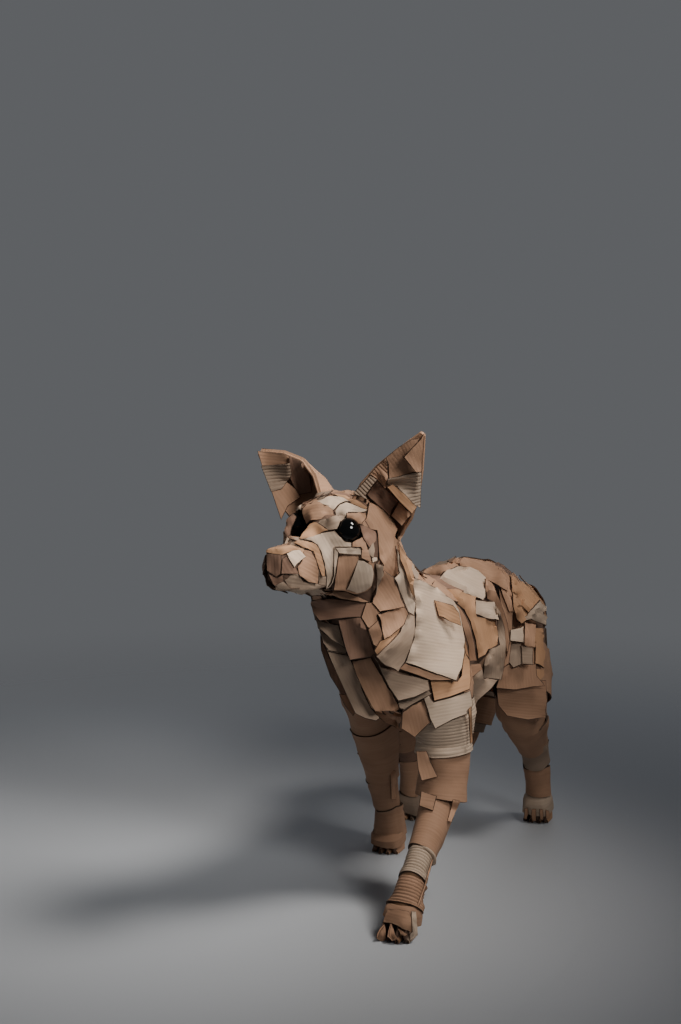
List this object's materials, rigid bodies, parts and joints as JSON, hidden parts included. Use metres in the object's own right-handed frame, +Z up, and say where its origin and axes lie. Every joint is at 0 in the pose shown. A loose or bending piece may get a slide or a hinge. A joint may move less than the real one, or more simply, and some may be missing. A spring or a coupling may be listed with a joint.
{
  "type": "cardboard fox sculpture",
  "caption": "Standing fox sculpture built of glued kraft cardboard sheets, with upright ears, wrapped legs, a hanging tail and domed black eyes.",
  "frame": {"origin": "on the floor under the middle of the sculpture's bounding box", "axes": "+Z up, -Y towards the nose, +X to the fox's left"},
  "size_m": [0.205, 0.5818, 0.4661],
  "materials": {
    "kraft_board": "matte brown kraft cardboard",
    "pale_kraft_board": "matte pale cardboard, partly with its flutes showing",
    "glossy_black": "polished domed craft eyes"
  },
  "bodies": {
    "root": {"back_patch": "pale_kraft_board", "back_patch_right": "pale_kraft_board", "belly_sheet": "kraft_board", "body": "kraft_board", "breast_tongue": "kraft_board", "cheek_plate": "kraft_board", "chest_left_strip": "kraft_board", "chest_right_sheet": "kraft_board", "chest_strip": "kraft_board", "ear_left": "kraft_board", "ear_right": "kraft_board", "eye_left": "glossy_black", "eye_right": "glossy_black", "flank_sheet": "kraft_board", "flank_sheet_right": "kraft_board", "flank_square": "pale_kraft_board", "flank_strip": "pale_kraft_board", "flank_strip_right": "pale_kraft_board", "forehead_sheet": "pale_kraft_board", "front_left_forearm_cuff": "kraft_board", "front_left_ribbed_cuff": "pale_kraft_board", "front_left_upper_cuff": "kraft_board", "front_left_wide_cuff": "kraft_board", "front_left_wrist_cuff": "kraft_board", "front_right_forearm_cuff": "kraft_board", "front_right_shin_cuff": "kraft_board", "front_right_upper_cuff": "kraft_board", "front_right_wrist_cuff": "kraft_board", "haunch_light": "kraft_board", "haunch_lower_strip": "kraft_board", "haunch_square": "pale_kraft_board", "haunch_strip": "kraft_board", "haunch_strip_right": "kraft_board", "hind_left_ankle_cuff": "pale_kraft_board", "hind_left_hock_cuff": "kraft_board", "hind_left_shank_cuff": "kraft_board", "hind_right_ankle_cuff": "pale_kraft_board", "hind_right_hock_cuff": "kraft_board", "hip_corner": "pale_kraft_board", "hip_strip": "kraft_board", "hip_strip_right": "kraft_board", "left_brow": "kraft_board", "light_cheek": "pale_kraft_board", "muzzle_front_band": "kraft_board", "muzzle_light_band": "kraft_board", "nose_sheet": "pale_kraft_board", "rump_cap": "kraft_board", "shoulder_front_sheet": "kraft_board", "shoulder_light_band": "pale_kraft_board", "shoulder_lower_band": "kraft_board", "shoulder_patch": "kraft_board", "shoulder_patch_right": "kraft_board", "shoulder_sheet": "pale_kraft_board", "shoulder_sheet_right": "pale_kraft_board", "tail_lower_cuff": "kraft_board", "tail_middle_cuff": "kraft_board", "tail_upper_cuff": "kraft_board", "temple_sheet": "kraft_board", "throat_sheet": "kraft_board", "upper_chest_sheet": "kraft_board"}
  },
  "joints": []
}
